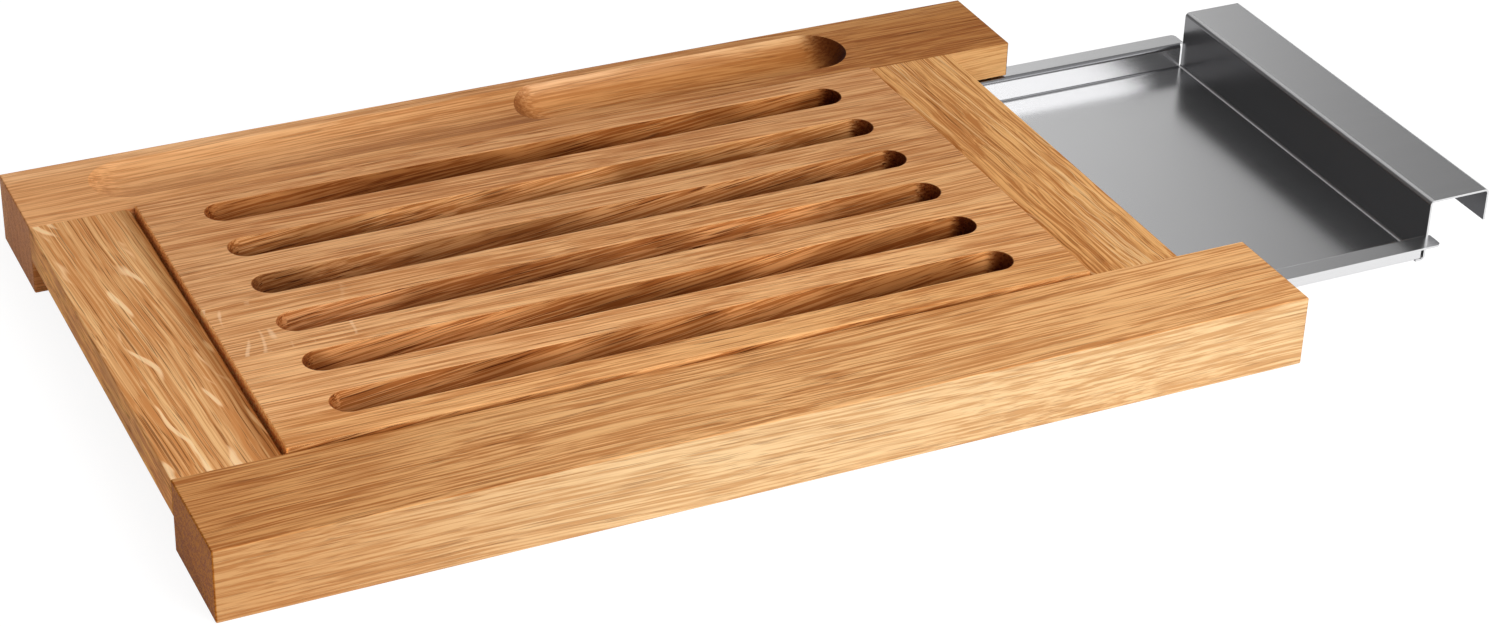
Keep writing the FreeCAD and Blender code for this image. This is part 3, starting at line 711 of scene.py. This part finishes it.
steelFinish = {
    "brush": (1400, 6),  # cycles per metre across and along the brushing
    "brushDetail": 3.0,
    "patches": 9,
    "dim": linear(220, 220, 221),
    "bright": linear(228, 228, 229),
    "endTone": linear(222, 222, 223),
    "steep": (0.6, 0.8),  # how far along X a face looks, from where it counts as the end wall
    "foldSpan": (0.08, 0.3),
    "foldBack": (-0.05, 0.05),  # only the folds toward the back are darker
    # painted dark reflections: these three tones darken the back folds along the tray, the faces turned
    # toward the board, and the inside of the grip
    "fold": (0.32, 0.32, 0.33),
    "inwardShade": (0.36, 0.36, 0.365),
    "grip": (0.45, 0.45, 0.46),
    "gripPlace": (0.300, 0.310),
    "lineRough": (0.3, 0.7, 0.2, 0.22),
    "patchRough": 0.04,
    "foldRough": 0.3,
    "bump": 0.000001,
}


def makeSteel():
    material = bpy.data.materials.new("brushedSteel")
    material.use_nodes = True
    tree = material.node_tree
    shader = tree.nodes["Principled BSDF"]
    place = addNode(tree, "ShaderNodeTexCoord")
    position = place.outputs["Object"]
    direction = addNode(tree, "ShaderNodeSeparateXYZ", Vector=place.outputs["Normal"]).outputs
    where = addNode(tree, "ShaderNodeSeparateXYZ", Vector=position).outputs
    steepX = calc(tree, "ABSOLUTE", direction["X"])
    steepY = calc(tree, "ABSOLUTE", direction["Y"])
    level = calc(tree, "ABSOLUTE", direction["Z"])

    # brushed along X, and along Y on the end wall
    across, along = steelFinish["brush"]
    starts, full = steelFinish["steep"]
    endWall = remap(tree, steepX, starts, full)
    lengthwise = noise(tree, stretched(tree, position, across, along), detail=steelFinish["brushDetail"])
    turned = addNode(tree, "ShaderNodeMapping", Vector=position, Scale=(across, along, across))
    sideways = noise(tree, turned.outputs["Vector"], detail=steelFinish["brushDetail"])
    lines = calc(tree, "ADD", calc(tree, "MULTIPLY", lengthwise, calc(tree, "SUBTRACT", 1.0, endWall)),
                 calc(tree, "MULTIPLY", sideways, endWall))
    patches = noise(tree, stretched(tree, position, steelFinish["patches"], steelFinish["patches"]))
    tone = blendColour(tree, lines, steelFinish["dim"], steelFinish["bright"])
    tone = tinted(tree, endWall, tone, steelFinish["endTone"])

    # the folds are duller; painted dark reflections darken the folds along the tray toward the back, the
    # faces turned toward the board and, most, the inside of the grip
    foldAcross = remap(tree, calc(tree, "MINIMUM", steepX, level), *steelFinish["foldSpan"], smooth=True)
    foldAlong = remap(tree, calc(tree, "MINIMUM", steepY, level), *steelFinish["foldSpan"], smooth=True)
    foldAlong = calc(tree, "MULTIPLY", foldAlong, remap(tree, where["Y"], *steelFinish["foldBack"]))
    tone = tinted(tree, foldAlong, tone, steelFinish["fold"])
    inwardShade = remap(tree, direction["X"], -starts, -full)
    tone = tinted(tree, inwardShade, tone, steelFinish["inwardShade"])
    grip = calc(tree, "MULTIPLY", inwardShade, remap(tree, where["X"], *steelFinish["gripPlace"]))
    tone = tinted(tree, grip, tone, steelFinish["grip"])

    rough = calc(tree, "ADD", remap(tree, lines, *steelFinish["lineRough"]),
                 calc(tree, "MULTIPLY", patches, steelFinish["patchRough"]))
    rough = calc(tree, "ADD", rough, calc(tree, "MULTIPLY", foldAcross, steelFinish["foldRough"]))
    bump = addNode(tree, "ShaderNodeBump", Height=lines, Distance=steelFinish["bump"])
    tree.links.new(tone, shader.inputs["Base Color"])
    tree.links.new(rough, shader.inputs["Roughness"])
    tree.links.new(bump.outputs["Normal"], shader.inputs["Normal"])
    shader.inputs["Metallic"].default_value = 1.0
    return material


dress("crumb_tray", makeSteel())
print("materials made:", len(bpy.data.materials))

floorPlan = {
    "half": 9.0,
    "bounce": 0.95,
    "shown": 0.2,
    "lift": 0.9,
}
# strengths, and the directions (from -1 to 1 on each axis) between which each part comes and goes
sky = {
    "horizon": 1.0,
    "horizonSpan": (0.12, 0.34),
    "dark": 0.01,
    "light": 0.84,
    "riseX": (-0.45, 0.42),
    "fallX": (0.45, 0.58),
    "fallZ": (0.5, 0.6),
    "fallen": 0.2,
    "overhead": 0.5,
    "overheadZ": (0.72, 0.85),
    "fill": 0.09,
    "fillLeft": 0.3,
    "fillLeftX": (-0.52, -0.75),
    "fillFront": 0.5,
    "fillFrontY": (0.1, -0.3),
    "fillHigh": 0.28,
    "fillHighZ": (0.54, 0.64),
    "strip": 1.0,
    "stripX": (-0.28, -0.18, 0.1, 0.2),
    "stripZ": (0.54, 0.6, 0.66, 0.72),
    "panel": 1.3,
    "panelX": (0.25, 0.33, 0.62, 0.7),
    "panelZ": (0.26, 0.34, 0.66, 0.72),
    "panelY": (-0.4, -0.55),
}
# heading and height in degrees, distance and size in metres, power in watts
softboxes = {
    "keyBox": {"heading": 26, "height": 44, "distance": 1.5, "size": 1.25, "power": 16.0},
    "frontBox": {"heading": 5, "height": 14, "distance": 1.8, "size": 1.2, "power": 10.6},
}


def grey(level):
    return (level, level, level, 1)


def makeFloor():
    bpy.ops.mesh.primitive_plane_add(size=2 * floorPlan["half"], location=(0, 0, 0))
    floor = bpy.context.object
    floor.name = "studioFloor"
    material = bpy.data.materials.new("studioFloor")
    material.use_nodes = True
    tree = material.node_tree
    tree.nodes.clear()
    # what the eye and the steel see is the pale floor, and what lights the board is its plain bounce
    path = addNode(tree, "ShaderNodeLightPath").outputs
    seen = calc(tree, "MAXIMUM", path["Is Camera Ray"], path["Is Glossy Ray"])
    seen = calc(tree, "MAXIMUM", seen, path["Is Transmission Ray"])
    bounce = addNode(tree, "ShaderNodeBsdfDiffuse", Color=grey(floorPlan["bounce"]))
    shown = addNode(tree, "ShaderNodeBsdfDiffuse", Color=grey(floorPlan["shown"]))
    lift = addNode(tree, "ShaderNodeEmission", Strength=floorPlan["lift"])
    both = tree.nodes.new("ShaderNodeAddShader")
    tree.links.new(shown.outputs[0], both.inputs[0])
    tree.links.new(lift.outputs[0], both.inputs[1])
    mix = tree.nodes.new("ShaderNodeMixShader")
    tree.links.new(seen, mix.inputs[0])
    tree.links.new(bounce.outputs[0], mix.inputs[1])
    tree.links.new(both.outputs[0], mix.inputs[2])
    out = tree.nodes.new("ShaderNodeOutputMaterial")
    tree.links.new(mix.outputs[0], out.inputs["Surface"])
    floor.data.materials.append(material)


def makeWorld():
    world = bpy.data.worlds.new("studio")
    bpy.context.scene.world = world
    world.use_nodes = True
    tree = world.node_tree
    background = tree.nodes["Background"]
    background.inputs["Color"].default_value = grey(1)
    place = addNode(tree, "ShaderNodeTexCoord")
    toward = addNode(tree, "ShaderNodeSeparateXYZ", Vector=place.outputs["Generated"]).outputs
    glossy = addNode(tree, "ShaderNodeLightPath").outputs["Is Glossy Ray"]

    # the sky is brightest low down at the back right, where the steel looks
    glow = remap(tree, toward["X"], *sky["riseX"], smooth=True)
    for axis, fall in (("X", sky["fallX"]), ("Z", sky["fallZ"])):
        kept = remap(tree, toward[axis], *fall, 1.0, sky["fallen"], smooth=True)
        glow = calc(tree, "MULTIPLY", glow, kept)
    light = calc(tree, "ADD", sky["dark"], calc(tree, "MULTIPLY", glow, sky["light"]))

    # the steel alone sees some more grey at the left, the front and higher up
    fill = remap(tree, toward["X"], *sky["fillLeftX"], sky["fill"], sky["fillLeft"], smooth=True)
    for axis, span, level in (("Y", sky["fillFrontY"], sky["fillFront"]),
                              ("Z", sky["fillHighZ"], sky["fillHigh"])):
        fill = calc(tree, "MAXIMUM", fill, remap(tree, toward[axis], *span, 0.0, level, smooth=True))
    light = calc(tree, "MAXIMUM", light, calc(tree, "MULTIPLY", fill, glossy))
    overhead = remap(tree, toward["Z"], *sky["overheadZ"], 0.0, sky["overhead"], smooth=True)
    light = calc(tree, "ADD", light, overhead)

    # a strip high at the back gives the steel's bends their bright lines
    strip = calc(tree, "MULTIPLY", window(tree, toward["X"], sky["stripX"]),
                 window(tree, toward["Z"], sky["stripZ"]))
    light = calc(tree, "ADD", light, calc(tree, "MULTIPLY", strip, sky["strip"]))

    # a pale panel at the front right stands in for the key lamp in the steel
    panel = calc(tree, "MULTIPLY", window(tree, toward["X"], sky["panelX"]),
                 window(tree, toward["Z"], sky["panelZ"]))
    panel = calc(tree, "MULTIPLY", panel, remap(tree, toward["Y"], *sky["panelY"], smooth=True))
    panel = calc(tree, "MULTIPLY", panel, glossy)
    light = calc(tree, "ADD", light, calc(tree, "MULTIPLY", panel, sky["panel"]))

    above = remap(tree, toward["Z"], *sky["horizonSpan"], smooth=True)
    below = calc(tree, "SUBTRACT", 1.0, above)
    amount = calc(tree, "ADD", calc(tree, "MULTIPLY", light, above),
                  calc(tree, "MULTIPLY", below, sky["horizon"]))
    tree.links.new(amount, background.inputs["Strength"])


def makeSoftbox(name, box):
    data = bpy.data.lights.new(name, "AREA")
    data.shape = "SQUARE"
    data.size = box["size"]
    data.energy = box["power"]
    lamp = bpy.data.objects.new(name, data)
    bpy.context.collection.objects.link(lamp)
    heading = math.radians(box["heading"])
    height = math.radians(box["height"])
    level = math.cos(height)
    back = Vector((math.sin(heading) * level, -math.cos(heading) * level, math.sin(height)))
    lamp.location = back * box["distance"]
    lamp.rotation_euler = back.to_track_quat("Z", "Y").to_euler()
    lamp.visible_glossy = False


makeFloor()
makeWorld()
for name, box in softboxes.items():
    makeSoftbox(name, box)
bpy.context.scene.view_settings.view_transform = "Standard"
print("studio made")
